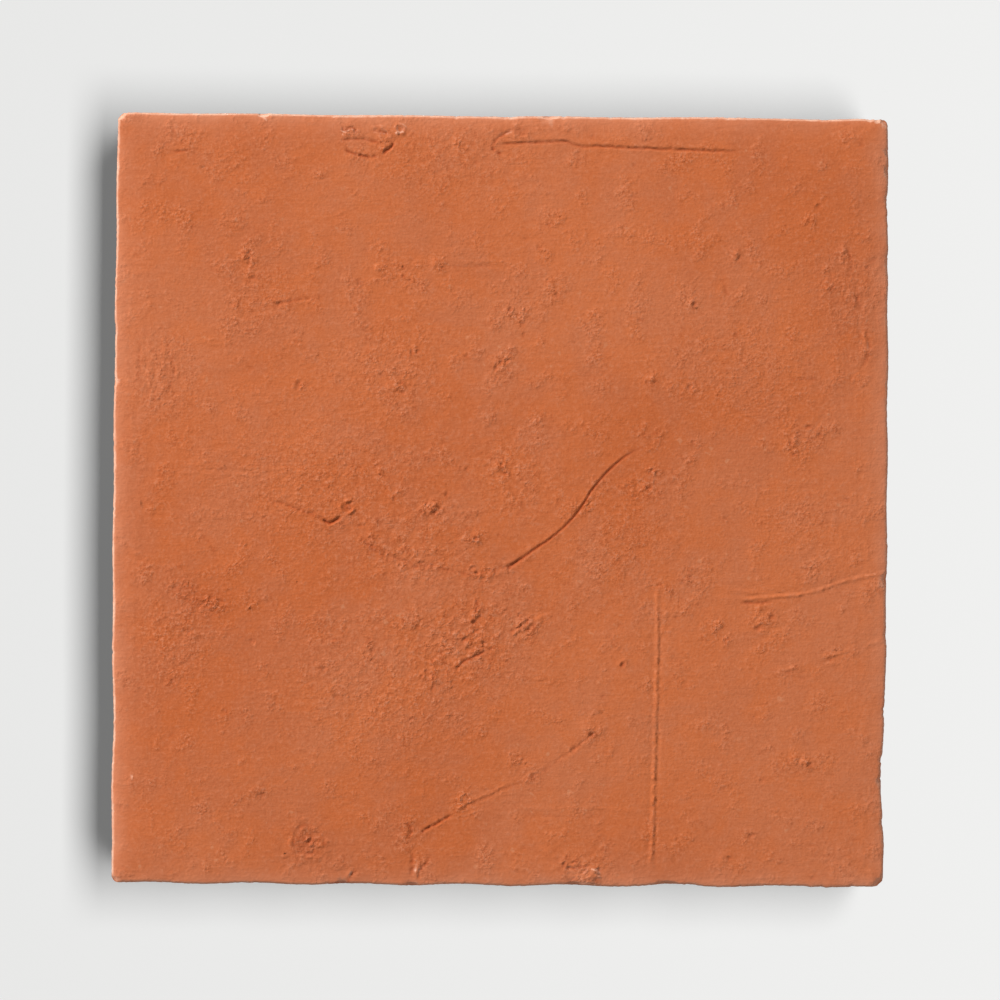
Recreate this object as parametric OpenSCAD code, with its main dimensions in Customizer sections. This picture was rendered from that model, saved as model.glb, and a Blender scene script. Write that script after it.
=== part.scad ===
// Handmade terracotta floor tile: one slab of fired clay, lying on its back.
// The origin is the middle of the back, the face looks up along +Z, and sizes
// are in millimetres. Lists of four go anticlockwise, seen from above: corners
// from the near left one, and sides from the near one, through right and far.

/* [Overall] */
// Width of the slab, from the left side to the right side
tile_width = 200; // [100:1:300]
// Length of the slab, from the near side to the far side
tile_length = 200; // [100:1:300]
// Thickness at the middle of the face
tile_thickness = 20; // [12:0.5:40]

/* [Outline] */
// How far each corner strays from the true rectangle, sideways
corner_shift_x = [-0.7, -0.8, 0.5, 1.0]; // [-3:0.1:3]
// How far each corner strays from the true rectangle, lengthways
corner_shift_y = [0.9, -0.3, -1.2, 0.4]; // [-3:0.1:3]
// Radius of each corner, seen from above
corner_radius = [1.6, 1.8, 1.5, 2.4]; // [1:0.1:8]
// Slow bow of each side at its middle, outwards
side_bow = [0.15, 0.5, -0.2, 0.4]; // [-2:0.05:2]
// Height of the ripple along each side
ripple_height = [0.26, 0.16, 0.1, 0.12]; // [0:0.01:0.6]
// Length of one ripple along each side
ripple_length = [27, 25, 38, 31]; // [20:1:80]
// Share of a ripple by which its crests lie past the side's first corner
ripple_offset = [0.85, 0.46, 0.3, 0.6]; // [0:0.01:1]
// Length of the ripple's fade at each corner
ripple_fade = 12; // [4:1:30]

/* [Dents in the sides] */
// Place of each side's dent, as a share of the side
dent_place = [0.73, 0.15, 0.08, 0.78]; // [0.05:0.01:0.95]
// Half the length of each side's dent
dent_reach = [6, 11, 9, 14]; // [4:1:30]
// Depth of each side's dent
dent_depth = [0.3, 0.9, 0.5, 0.35]; // [0:0.05:2]

/* [Section] */
// Radius of the arris round the face
face_arris = 0.9; // [0.3:0.1:3]
// Radius of the arris round the back
back_arris = 1.2; // [0.3:0.1:3]
// How far each side leans in from the face to the back
side_lean = 1.1; // [0:0.1:4]
// How far the sides are dished at half their height
side_dish = 0.25; // [0:0.05:1]
// Height of the face's middle above its edges
face_crown = 0.45; // [0:0.05:3]
// Further drop of the face close to its edges, where it is trowelled down
edge_drop = 0.35; // [0:0.05:1]
// Distance over which that drop dies away
edge_drop_reach = 4; // [2:0.5:12]
// Depth of the slow roll left across the face by the striking board
face_roll = 0.25; // [0:0.05:1]
// Distance from one crest of that roll to the next
face_roll_length = 170; // [120:5:400]

/* [Chips along the face arris] */
// Side that each chip is on: 0 near, 1 right, 2 far, 3 left
chip_side = [0, 0, 0, 0, 1, 1, 1, 1, 2, 2, 3]; // [0:1:3]
// Place of each chip, as a share of its side
chip_place = [0.3, 0.39, 0.6, 0.72, 0.14, 0.4, 0.93, 0.955, 0.44, 0.81, 0.35]; // [0.04:0.005:0.96]
// Length of each chip along the arris
chip_length = [3, 3.6, 4.4, 6, 2.4, 4, 3, 2.6, 4.6, 3.4, 3]; // [1:0.1:12]
// Depth of each chip, square to the arris
chip_depth = [0.45, 0.5, 0.45, 0.4, 0.5, 0.7, 0.7, 0.6, 0.4, 0.45, 0.35]; // [0.2:0.05:2]

/* [Worn corners] */
// Width of the worn patch across each corner of the face
wear_width = [5, 9, 6, 4]; // [3:0.5:20]
// Depth of the same four patches, square to them
wear_depth = [0.7, 1.1, 0.9, 0.6]; // [0.2:0.05:1.5]

/* [Hidden] */

// Spacing of the points along a side, and the steps round a corner or arris
point_spacing = 4.6;
corner_steps = 4;
arris_steps = 3;
// Where the rings lie: up the sides, as shares of their height; near the edge of
// the face, in reaches of the edge drop; and further in, as shares of its size
side_heights = [0, 0.35, 0.7, 1];
edge_reaches = [0.4, 1, 2.2];
inner_shares = [0.78, 0.52, 0.26];
// Largest share of a corner's radius that an arris running round it may take
arris_limit = 0.9;
// Facets round a ball that bites a flake out
ball_facets = 64;

SIDES = [0:3];
function after(i) = (i + 1) % 4;
function before(i) = (i + 3) % 4;
function angle_of(v) = atan2(v.y, v.x);

// The four corners of the outline before they are rounded
corners = [
    for (i = SIDES) [
        (i == 1 || i == 2 ? 1 : -1) * tile_width / 2 + corner_shift_x[i],
        (i > 1 ? 1 : -1) * tile_length / 2 + corner_shift_y[i]
    ]
];

// Each side's length, its direction and the direction that points out of it
function span_of(i) = norm(corners[after(i)] - corners[i]);
function along(i) = (corners[after(i)] - corners[i]) / span_of(i);
function out_of(i) = [along(i).y, -along(i).x];

// Distance from a sharp corner to where its arc begins
function turn_at(i) = acos(along(before(i)) * along(i));
function setback(i) = corner_radius[i] * tan(turn_at(i) / 2);

// Where a side strays from its straight line, at a distance u along it
function bow(i, u) = side_bow[i] * sin(180 * u / span_of(i));
function fade(i, u) = min(1, u / ripple_fade, (span_of(i) - u) / ripple_fade);
function ripple(i, u) =
    ripple_height[i] * cos(360 * (u / ripple_length[i] - ripple_offset[i]));
function dent(i, u) =
    let (from = (u - dent_place[i] * span_of(i)) / dent_reach[i])
    dent_depth[i] * exp(-from * from);
function stray(i, u) = bow(i, u) + fade(i, u) * (ripple(i, u) - dent(i, u));
function side_point(i, u) = corners[i] + along(i) * u + out_of(i) * stray(i, u);

// The outline as pairs of a point and the direction that points out of it
function corner_run(i) =
    let (
        middle = corners[i] + along(i) * setback(i) - out_of(i) * corner_radius[i],
        start = angle_of(out_of(before(i)))
    )
    [
        for (k = [0:corner_steps - 1])
            let (a = start + turn_at(i) * k / corner_steps, v = [cos(a), sin(a)])
            [middle + corner_radius[i] * v, v]
    ];
function side_run(i) =
    let (
        first = setback(i),
        last = span_of(i) - setback(after(i)),
        steps = ceil((last - first) / point_spacing)
    )
    [
        for (k = [0:steps - 1])
            let (u = first + (last - first) * k / steps)
            [side_point(i, u), out_of(i)]
    ];
raw_outline = [for (i = SIDES, pair = concat(corner_run(i), side_run(i))) pair];

// The outline with the middle of its bounding box at the origin
xs = [for (pair = raw_outline) pair[0].x];
ys = [for (pair = raw_outline) pair[0].y];
box_middle = [max(xs) + min(xs), max(ys) + min(ys)] / 2;
outline = [for (pair = raw_outline) [pair[0] - box_middle, pair[1]]];

// An arris can't be rounder than the sharpest corner it runs round
sharpest = arris_limit * min(corner_radius);
top_arris = min(face_arris, sharpest);
low_arris = min(back_arris, sharpest);

// Height of the face, at a point and its share of the way from middle to edge
half_size = min(tile_width, tile_length) / 2;
function roll(p) =
    let (turn = 360 / face_roll_length)
    face_roll * (1 - cos(turn * p.x) * cos(turn * p.y)) / 2;
function face_z(p, share) =
    let (from_edge = (1 - share) * half_size)
    tile_thickness - face_crown * share * share - roll(p)
        - edge_drop * exp(-from_edge / edge_drop_reach);

// Share of the outline's size left at the back, where the sides lean in
back_share = [1 - 2 * side_lean / tile_width, 1 - 2 * side_lean / tile_length];
function leant(p, height) =
    let (lean = 1 - height)
    [p.x * (1 - lean * (1 - back_share.x)), p.y * (1 - lean * (1 - back_share.y))];

// Rings of points, from the back up the sides, over the arris and across the face.
// The rings of the sides take their place by the share of the height they are at.
function back_ring(a) = [
    for (pair = outline)
        let (p = leant(pair[0], 0) - pair[1] * low_arris * (1 - sin(a)))
        [p.x, p.y, low_arris * (1 - cos(a))]
];
function side_ring(height) = [
    for (pair = outline)
        let (
            p = leant(pair[0], height) - pair[1] * side_dish * sin(180 * height),
            top = face_z(pair[0], 1) - top_arris
        )
        [p.x, p.y, low_arris + (top - low_arris) * height]
];
function arris_ring(a) = [
    for (pair = outline)
        let (p = pair[0] - pair[1] * top_arris * (1 - cos(a)))
        [p.x, p.y, face_z(pair[0], 1) - top_arris * (1 - sin(a))]
];
function face_ring(share) = [
    for (pair = outline)
        let (p = (pair[0] - pair[1] * top_arris) * share)
        [p.x, p.y, face_z(p, share)]
];

edge_shares = [for (d = edge_reaches) 1 - d * edge_drop_reach / half_size];
rings = concat(
    [back_ring(0), back_ring(45)],
    [for (height = side_heights) side_ring(height)],
    [for (k = [1:arris_steps]) arris_ring(90 * k / arris_steps)],
    [for (share = concat(edge_shares, inner_shares)) face_ring(share)]
);

count = len(outline);
last_ring = len(rings) - 1;
back_middle = len(rings) * count;
face_middle = back_middle + 1;
function at(ring, k) = ring * count + k % count;

slab_points = concat(
    [for (ring = rings, p = ring) p],
    [[0, 0, 0], [0, 0, face_z([0, 0], 0)]]
);
slab_faces = concat(
    [for (k = [0:count - 1]) [back_middle, at(0, k), at(0, k + 1)]],
    [for (r = [0:last_ring - 1], k = [0:count - 1]) [at(r, k), at(r + 1, k), at(r + 1, k + 1)]],
    [for (r = [0:last_ring - 1], k = [0:count - 1]) [at(r, k), at(r + 1, k + 1), at(r, k + 1)]],
    [for (k = [0:count - 1]) [face_middle, at(last_ring, k + 1), at(last_ring, k)]]
);

// The slab before anything has broken off it
module slab() {
    polyhedron(points = slab_points, faces = slab_faces);
}

// A ball that bites a shell-shaped flake out of the slab: it leaves a hollow so
// wide and so deep at a point whose surface looks along a unit vector
module flake(point, looks, width, depth) {
    ball = (width * width / 4 + depth * depth) / (2 * depth);
    translate(point + looks * (ball - depth)) sphere(r = ball, $fn = ball_facets);
}

// Half a right angle up from a level direction
function upwards(v) = [v.x, v.y, 1] / norm([v.x, v.y, 1]);
// How far the rounded arris lies inside its sharp edge, along that direction
arris_loss = top_arris * (sqrt(2) - 1);

module chip(i, place, width, depth) {
    p = side_point(i, place * span_of(i)) - box_middle;
    looks = upwards(out_of(i));
    flake([p.x, p.y, face_z(p, 1)] - looks * arris_loss, looks, width, depth);
}

module worn_corner(i) {
    v = out_of(before(i)) + out_of(i);
    looks = upwards(v / norm(v));
    p = corners[i] - box_middle;
    corner_loss = corner_radius[i] * (sqrt(2) - 1);
    edge = p - v / norm(v) * corner_loss;
    flake([edge.x, edge.y, face_z(p, 1)] - looks * arris_loss, looks, wear_width[i], wear_depth[i]);
}

module tile() {
    color([0.77, 0.43, 0.27])
        difference() {
            slab();
            for (k = [0:len(chip_side) - 1])
                chip(chip_side[k], chip_place[k], chip_length[k], chip_depth[k]);
            for (i = SIDES) worn_corner(i);
        }
}

tile();
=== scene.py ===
"""Handmade terracotta floor tile: the looks of one unglazed slab of fired clay.

The slab's outline, section, chips and worn corners come from the CAD model. This
script lays a dense skin over them and works the clay's own relief into it: folds,
threads, dents, pits and the drag of the trowel. Lengths are in millimetres, with
the origin under the middle of the tile, until they are handed to Blender in metres.
"""
import math

import bpy
import numpy as np
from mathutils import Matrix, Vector
from mathutils.bvhtree import BVHTree


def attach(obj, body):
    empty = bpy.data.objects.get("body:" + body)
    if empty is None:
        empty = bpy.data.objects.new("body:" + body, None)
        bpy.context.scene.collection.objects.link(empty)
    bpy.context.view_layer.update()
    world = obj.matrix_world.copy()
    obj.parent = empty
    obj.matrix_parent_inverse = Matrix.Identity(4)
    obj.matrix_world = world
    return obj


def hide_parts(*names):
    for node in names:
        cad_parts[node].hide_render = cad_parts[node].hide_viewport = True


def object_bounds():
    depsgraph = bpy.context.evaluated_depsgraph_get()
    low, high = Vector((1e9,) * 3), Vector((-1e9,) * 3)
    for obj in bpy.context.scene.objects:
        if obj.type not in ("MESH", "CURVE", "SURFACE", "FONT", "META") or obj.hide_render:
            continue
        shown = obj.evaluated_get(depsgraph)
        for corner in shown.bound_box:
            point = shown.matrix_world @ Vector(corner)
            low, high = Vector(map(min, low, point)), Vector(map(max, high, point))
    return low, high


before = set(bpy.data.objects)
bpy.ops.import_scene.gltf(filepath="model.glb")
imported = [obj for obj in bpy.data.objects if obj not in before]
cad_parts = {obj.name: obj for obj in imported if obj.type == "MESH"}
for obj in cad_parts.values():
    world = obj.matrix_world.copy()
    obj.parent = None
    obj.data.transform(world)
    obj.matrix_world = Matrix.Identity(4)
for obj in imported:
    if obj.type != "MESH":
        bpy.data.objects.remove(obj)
cad_low, cad_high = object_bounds()

MM = 0.001
SIZE = np.array(cad_high - cad_low) / MM
THICKNESS = SIZE[2]

# The skin before it is thinned: its grid, its rings and where they lie
CELLS = 800          # cells along one side of the face
COLUMNS = 4 * CELLS  # points round the outline
BACK_STEP = 5        # the back's cells are this many times coarser
PITCH = SIZE[0] / CELLS
WIDEST = 0.88        # share of the thickness at which the outline is widest
ARRIS = 0.85         # radius of the rounding round the face
ARRIS_TURNS = 5
SIDE_RINGS = 28
BACK_ARRIS = 1.2
HEM = 0.8            # the back's grid starts this far inside its last ring
TRIANGLES = 190_000  # triangles the finished piece is thinned to


# ---- fields of numbers
def smoothstep(x, low, high):
    t = np.clip((x - low) / (high - low), 0, 1)
    return t * t * (3 - 2 * t)


def noise(shape, spacing, coarse, fine, slope=1.0, stretch=(1, 1), *, seed):
    """A smooth random field of unit spread, with features from coarse to fine mm across.
    A stretch draws them out along x and y, and a slope weakens the finer ones."""
    white = np.random.default_rng(seed).standard_normal(shape)
    fy = np.fft.fftfreq(shape[0], spacing)[:, None] * stretch[1]
    fx = np.fft.rfftfreq(shape[1], spacing)[None, :] * stretch[0]
    f = np.hypot(fx, fy)
    keep = np.exp(-((f * fine) ** 2)) * (1 - np.exp(-((f * coarse) ** 2)))
    keep /= np.maximum(f, 1 / (4 * coarse)) ** slope
    field = np.fft.irfft2(np.fft.rfft2(white) * keep, s=shape)
    return field / field.std()


def blur(field, radius):
    """A Gaussian blur of radius cells, with the field mirrored past its borders."""
    n, m = field.shape
    both = np.block([[field, field[:, ::-1]], [field[::-1], field[::-1, ::-1]]])
    fy = np.fft.fftfreq(2 * n)[:, None]
    fx = np.fft.rfftfreq(2 * m)[None, :]
    keep = np.exp(-2 * (math.pi * radius) ** 2 * (fx**2 + fy**2))
    return np.fft.irfft2(np.fft.rfft2(both) * keep, s=both.shape)[:n, :m]


# ---- the CAD slab's own form
class Slab:
    """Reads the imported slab's surface by casting rays at it, in millimetres."""

    def __init__(self, ob):
        points = [v.co / MM for v in ob.data.vertices]
        faces = [tuple(p.vertices) for p in ob.data.polygons]
        self.tree = BVHTree.FromPolygons(points, faces)

    def outline(self):
        """Points where rays towards the middle meet the slab, anticlockwise from
        the near left corner, with the same number along each side."""
        level = WIDEST * THICKNESS
        share = np.arange(CELLS) * 2 / CELLS - 1
        one = np.ones(CELLS)
        sides = [(share, -one), (one, share), (-share, one), (-one, -share)]
        found = []
        for x, y in np.concatenate([np.stack(side, 1) for side in sides]):
            start = Vector((x * SIZE[0], y * SIZE[1], level))
            aim = Vector((-start.x, -start.y, 0)).normalized()
            found.append(self.tree.ray_cast(start, aim)[0].xy[:])
        return np.array(found)

    def heights(self, xy):
        """Height of the face over each point."""
        down = Vector((0, 0, -1))
        top = THICKNESS + 5
        return np.array([self.tree.ray_cast(Vector((x, y, top)), down)[0].z for x, y in xy])

    def settle(self, points):
        """The points, each moved to the nearest place on the slab."""
        return np.array([self.tree.find_nearest(Vector(p))[0][:] for p in points])


# ---- rings and grids
def outward(ring, reach):
    """Unit vectors that point out of a closed ring, from its run over reach points."""
    along = np.roll(ring, -reach, 0) - np.roll(ring, reach, 0)
    out = np.stack([along[:, 1], -along[:, 0]], 1)
    return out / np.linalg.norm(out, axis=1, keepdims=True)


def border(n):
    """Row and column of a grid's border points, anticlockwise from the near left."""
    up, down = np.arange(n), np.arange(n, 0, -1)
    low, high = np.zeros(n, int), np.full(n, n)
    rows = np.concatenate([low, up, high, down])
    columns = np.concatenate([up, high, down, low])
    return rows, columns


def from_border(n):
    """How many cells each point of a square grid is from its border."""
    k = np.arange(n + 1)
    k = np.minimum(k, n - k)
    return np.minimum(k[:, None], k[None, :])


def spread(values, n, cell, reach):
    """Carries values at a grid's border towards its middle, fading over reach mm."""
    x, y = np.meshgrid(np.arange(n + 1) - n / 2, np.arange(n + 1) - n / 2)
    size = np.maximum(np.maximum(np.abs(x), np.abs(y)), 0.5)
    side = np.where(-y >= np.abs(x), 0, np.where(y >= np.abs(x), 2, np.where(x > 0, 1, 3)))
    place = (side + (np.choose(side, [x, y, -x, -y]) / size + 1) / 2) * n
    first = np.floor(place).astype(int)
    part = (place - first)[..., None]
    at_border = values[first % (4 * n)] * (1 - part) + values[(first + 1) % (4 * n)] * part
    return at_border * np.exp(-from_border(n) * cell / reach)[..., None]


def patch(ring):
    """Fills a closed ring of points with a square grid, by row and column."""
    n = len(ring) // 4
    half = SIZE[:2] / 2
    x = np.linspace(-half[0], half[0], n + 1)
    y = np.linspace(-half[1], half[1], n + 1)
    plain = np.dstack(np.meshgrid(x, y))
    return plain + spread(ring - plain[border(n)], n, SIZE[0] / n, reach=14)


def grid_faces(n, start):
    """Quads of a square grid of points, facing up."""
    k = start + np.arange((n + 1) ** 2).reshape(n + 1, n + 1)
    quads = np.stack([k[:-1, :-1], k[:-1, 1:], k[1:, 1:], k[1:, :-1]], -1)
    return quads.reshape(-1, 4)


def band_faces(lower, upper):
    """Quads between two closed rings, facing out."""
    return np.stack([lower, np.roll(lower, -1), np.roll(upper, -1), upper], -1)


# ---- marks worked into the face
def curve(points):
    """A smooth curve through given points, and its length up to each place."""
    step = 0.2
    p = np.array(points, float)
    p = np.concatenate([[2 * p[0] - p[1]], p, [2 * p[-1] - p[-2]]])
    runs = []
    for a, b, c, d in zip(p, p[1:], p[2:], p[3:]):
        t = np.arange(0, 1, step / max(np.linalg.norm(c - b), step))[:, None]
        bend = t**2 * (a - 2.5 * b + 2 * c - 0.5 * d)
        twist = t**3 * (1.5 * (b - c) + 0.5 * (d - a))
        runs.append(b + 0.5 * t * (c - a) + bend + twist)
    line = np.concatenate(runs + [p[-2:-1]])
    lengths = np.linalg.norm(np.diff(line, axis=0), axis=1)
    return line, np.concatenate([[0], np.cumsum(lengths)])


class Face:
    """The face's relief, as a height over a regular grid, with masks of where the clay is torn
    and of the shade painted into its folds, dents and pits, and one dark smudge. The
    material adds the torn clay's fine wrinkles."""

    def __init__(self):
        self.count = CELLS + 21
        half = PITCH * (self.count - 1) / 2
        self.axis = np.linspace(-half, half, self.count)
        self.x, self.y = np.meshgrid(self.axis, self.axis)
        self.height = np.zeros_like(self.x)
        self.hollow = np.zeros_like(self.x)
        self.torn = np.zeros_like(self.x)
        self.waver = self.noise(6, 1.5, 0.8, seed=21)
        self.crumble = self.noise(4, 1.0, 0.4, seed=22)
        self.lumps = self.noise(4.5, 1.5, 0.3, seed=24)

    def noise(self, coarse, fine, slope=1.0, stretch=(1, 1), *, seed):
        return noise(self.x.shape, PITCH, coarse, fine, slope, stretch, seed=seed)

    def window(self, low, high):
        """The part of the grid between two corners, as a pair of slices."""
        i = np.searchsorted(self.axis, [low[0], high[0]])
        j = np.searchsorted(self.axis, [low[1], high[1]])
        return np.s_[j[0] : j[1], i[0] : i[1]]

    def turned(self, part, x, y, turn):
        """Distances from a point, along and across a direction given in degrees."""
        dx, dy = self.x[part] - x, self.y[part] - y
        c, s = math.cos(math.radians(turn)), math.sin(math.radians(turn))
        return dx * c + dy * s, dy * c - dx * s

    def beside(self, points, reach):
        """The window round a curve, the distance to the curve there, positive to its
        left, and how far along it the nearest place is, as a share."""
        line, run = curve(points)
        part = self.window(line.min(0) - reach, line.max(0) + reach)
        x, y = self.x[part], self.y[part]
        best = np.full(x.shape, np.inf)
        which = np.zeros(x.shape, int)
        for k, (px, py) in enumerate(line):
            d = (x - px) ** 2 + (y - py) ** 2
            closer = d < best
            best[closer] = d[closer]
            which[closer] = k
        along = np.gradient(line, axis=0)
        cross = along[which, 0] * (y - line[which, 1]) - along[which, 1] * (x - line[which, 0])
        return part, np.sqrt(best) * np.sign(cross), run[which] / run[-1]

    def mark(self, points, height, width=0.6, ends=(0.15, 0.15), rough=0.25, step=0.0, dark=None):
        """A fold in the clay (height below 0) or a thread on it (above 0), with ends
        that fade over shares of its length. A step leaves the clay on its left that
        much higher, and dies away over a few mm."""
        part, off, share = self.beside(points, 7)
        off = off + self.waver[part] * (0.03 + 0.12 * rough)
        power = np.clip(1 + self.crumble[part] * rough * 1.2, 0.05, 2)
        for side, length in ((share, ends[0]), (1 - share, ends[1])):
            power = power * smoothstep(side, -1e-3, max(length, 1e-6))
        core = np.exp(-2.8 * (off / width) ** 2)
        lips = np.exp(-(((np.abs(off) - 1.3 * width) / (0.6 * width)) ** 2))
        ledge = np.tanh(off / (0.35 * width)) * np.exp(-np.abs(off) / 2.2)
        self.height[part] += power * (height * (core - 0.3 * lips) + 0.5 * step * ledge)
        # Painted shade: the fold's core is darkened in colour, as much as dark asks or, if it is
        # not given, by the fold's depth.
        if dark is None:
            dark = np.clip(-height / 0.3, 0, 1)
        shade = dark * np.clip(power, 0, 1) * core
        self.hollow[part] = np.maximum(self.hollow[part], shade)

    def dent(self, x, y, across, depth, rim=0.4, long=1.0, turn=0.0, dark=None):
        """A pressed dent with a raised rim or, with a depth below 0, a lump."""
        reach = 1.2 * across * max(long, 1)
        part = self.window((x - reach, y - reach), (x + reach, y + reach))
        u, v = self.turned(part, x, y, turn)
        r = np.hypot(u / long, v) / (0.5 * across) * (1 + 0.12 * self.waver[part])
        core = np.exp(-(r**2.4))
        ring = np.exp(-(((r - 1.3) / 0.35) ** 2)) * (1 + 0.5 * self.crumble[part])
        self.height[part] += rim * abs(depth) * ring - depth * core
        # Painted shade: the dent's hollow is darkened in colour, as much as dark asks or, if it
        # is not given, by the dent's depth.
        if dark is None:
            dark = np.clip(depth / 0.5, 0, 0.8)
        self.hollow[part] = np.maximum(self.hollow[part], dark * core)

    def strokes(self, table, width=0.6, rough=0.5):
        """Short marks, each given by the points along it and its height."""
        for points, height in table:
            self.mark(points, height, width, ends=(0.3, 0.3), rough=rough)

    def rough(self, x, y, across, strength, long=1.0, turn=0.0):
        """A patch of torn and wrinkled clay."""
        u, v = self.turned(np.s_[:, :], x, y, turn)
        here = strength * np.exp(-((u / long) ** 2 + v**2) / (0.5 * across) ** 2)
        here = here * (0.8 + 0.35 * np.clip(self.waver, -1.5, 1.5))
        self.height += 0.02 * here * self.lumps
        self.torn = np.maximum(self.torn, here)

    def pits(self, count, across, depth, seed):
        """Pinholes scattered over the face, most of them small."""
        draw = np.random.default_rng(seed)
        half = SIZE[:2] / 2 - 2
        for _ in range(count):
            x, y = draw.uniform(-half, half)
            grow = draw.uniform(0.5, 1) ** 2
            long = draw.uniform(1, 1.8)
            turn = draw.normal(0, 25)
            self.dent(x, y, across * grow, depth * grow, 0.2, long, turn)

    def at(self, field, xy):
        """A field's value at any points, from the four of the grid round each."""
        p = (np.asarray(xy) - self.axis[0]) / PITCH
        p = np.clip(p, 0, self.count - 1.001)
        low = p.astype(int)
        (i, j), (fx, fy) = low.T, (p - low).T
        near = field[j, i] * (1 - fx) + field[j, i + 1] * fx
        far = field[j + 1, i] * (1 - fx) + field[j + 1, i + 1] * fx
        return near * (1 - fy) + far * fy


WORN_GROUND = (
    # middle, width, strength and, if not round, how drawn out it is and which way
    (-45, 4, 44, 0.48, 1.5, 0), (-84, -36, 28, 0.5), (-87, 30, 22, 0.48, 1.3, 90),
    (-28, 33, 28, 0.52), (64, 34, 34, 0.44, 1.4, 0), (-30, -50, 40, 0.5, 1.3, 0),
    (-24, -12, 30, 0.54, 1.4, -20), (30, -12, 28, 0.48, 1.3, 40), (-15, 89, 26, 0.42, 2, 0),
    (78, -6, 22, 0.44), (4, 6, 26, 0.5), (90, 52, 26, 0.44, 1.4, 90), (-62, 52, 24, 0.46),
)


def work_ground(face):
    """The slow unevenness of a hand-struck face and the drag of the trowel."""
    face.height += 0.026 * face.noise(36, 9, 1.2, seed=1)
    face.height += 0.014 * face.noise(9, 2.5, 0.8, seed=2)
    patchy = smoothstep(face.noise(30, 8, 1, seed=5), -0.8, 1.6)
    level = face.noise(3, 1.1, 0.4, stretch=(14, 1), seed=3)
    upright = face.noise(3, 1.1, 0.4, stretch=(1, 14), seed=4)
    near_side = smoothstep(np.abs(face.x), 74, 94)
    face.height += 0.01 * level * patchy * (1 - 0.7 * near_side)
    face.height += 0.01 * upright * (0.2 + near_side)
    for spot in WORN_GROUND:
        face.rough(*spot)


def work_threads(face):
    """Long raised threads: the upright one, and two that run off the right side."""
    upright = [(40.7, -22), (40.5, -40), (40.1, -58), (39.6, -78), (39, -97.5)]
    face.mark(upright, 0.2, 0.66, ends=(0.03, 0.1), rough=0.35)
    face.mark([(x + 1, y) for x, y in upright], -0.04, 0.5, rough=0.5, dark=0)
    upper = [(62, -25.6), (70, -25.2), (80, -24), (90, -20.8), (100.5, -18.6)]
    face.mark(upper, 0.18, 0.6, ends=(0.08, 0), rough=0.35)
    face.mark([(61.5, -26.5), (66, -26.6), (71.5, -26.2)], -0.2, 0.55, ends=(0.2, 0.4))
    face.mark([(57.5, -23.2), (62, -23.6), (69, -24.2)], 0.1, ends=(0.3, 0.3))
    face.strokes((
        ([(70.5, -45.1), (74, -44), (77.4, -42.6)], 0.09),
        ([(82, -41.2), (87, -39.8), (92, -38.2)], 0.11),
        ([(94.5, -37.6), (97, -36.8), (99.6, -36)], 0.1),
        ([(73.6, -45.1), (77, -43.6)], -0.09),
        ([(82.6, -42.2), (87, -40.8)], -0.08),
    ), 0.65, 0.4)


def work_middle(face):
    """The great curved fold, the faint arc that carries it on, and the torn clay."""
    great = [
        (2.6, -17.2), (8.5, -13), (15, -8.4), (20.3, -2.8),
        (23.8, 2.6), (28.7, 8.2), (34.5, 12.6), (41, 15),
    ]
    face.mark(great, -0.21, 0.46, ends=(0.01, 0.3), rough=0.08, step=0.07, dark=1)
    deep_end = [(1.6, -17.8), (4, -16.2), (7.5, -13.6)]
    face.mark(deep_end, -0.26, 0.8, ends=(0.08, 0.7), rough=0.1)
    arc = [
        (3, -17.2), (-3, -18.4), (-9, -19), (-17.5, -17),
        (-25, -15.6), (-31, -12.6), (-37, -8.6),
    ]
    face.mark(arc, -0.1, 0.6, ends=(0.05, 0.3), rough=0.9, step=0.04)
    face.mark([(-12, -17.2), (-17, -15.4), (-22, -15.2)], 0.08, rough=0.6)
    face.mark([(-29, -15), (-33, -12.6), (-35.5, -10.4)], -0.17, ends=(0.3, 0.2), rough=0.5)

    # The fold on the left with its notch and the small ring beside it
    fold = [(-63, 0.8), (-57, -0.8), (-51, -2.8), (-45.4, -4.9)]
    face.mark(fold, -0.14, ends=(0.5, 0.1), rough=0.6)
    notch = [(-46.2, -4.8), (-44.4, -5.8), (-42.8, -5.6), (-41, -4.2)]
    face.mark(notch, -0.42, 0.7, ends=(0.2, 0.25))
    face.mark([(-43.6, -6.6), (-41.4, -5.4), (-39.6, -3.8)], 0.16, 0.6, ends=(0.3, 0.3))
    face.dent(-39.4, -1.9, 2.6, 0.18, 1.4, dark=0.45)
    face.dent(-39.3, -1.8, 0.9, -0.25, 0)

    # Torn ground below the middle, with its short folds, and a dark smudge on the left
    face.dent(-77, -25.6, 7, 0.03, 0, 1.9, -14, dark=0.22)
    face.rough(-9, -37, 34, 0.66, 1.2, 30)
    spots = (
        (-6, -29, 6), (-13, -37, 10), (-6, -37, 8), (-17.4, -46, 7), (6.5, -33, 9), (-23, -31, 8),
    )
    for x, y, across in spots:
        face.rough(x, y, across, 0.78, 1.3, 30)
    fold = [(-12.3, -44.2), (-9.6, -42), (-7, -40.6), (-4.6, -39.6), (-0.6, -37.4)]
    face.mark(fold, -0.24, 0.5, ends=(0.06, 0.25), rough=0.35)
    face.mark([(-3.4, -41.2), (-1.4, -39.6), (0, -38.4)], 0.1, 0.6, rough=0.4)
    face.mark([(-6, -25.4), (-5.9, -27.4), (-6.5, -29.2)], -0.24, 0.55, ends=(0.3, 0.2))
    face.mark([(2.8, -35.4), (7, -32.4), (11.5, -30), (14, -29.4)], 0.12, rough=0.4)
    face.mark([(2.4, -34.2), (4.6, -33), (8, -30.6)], -0.15, 0.5, rough=0.6)


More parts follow.
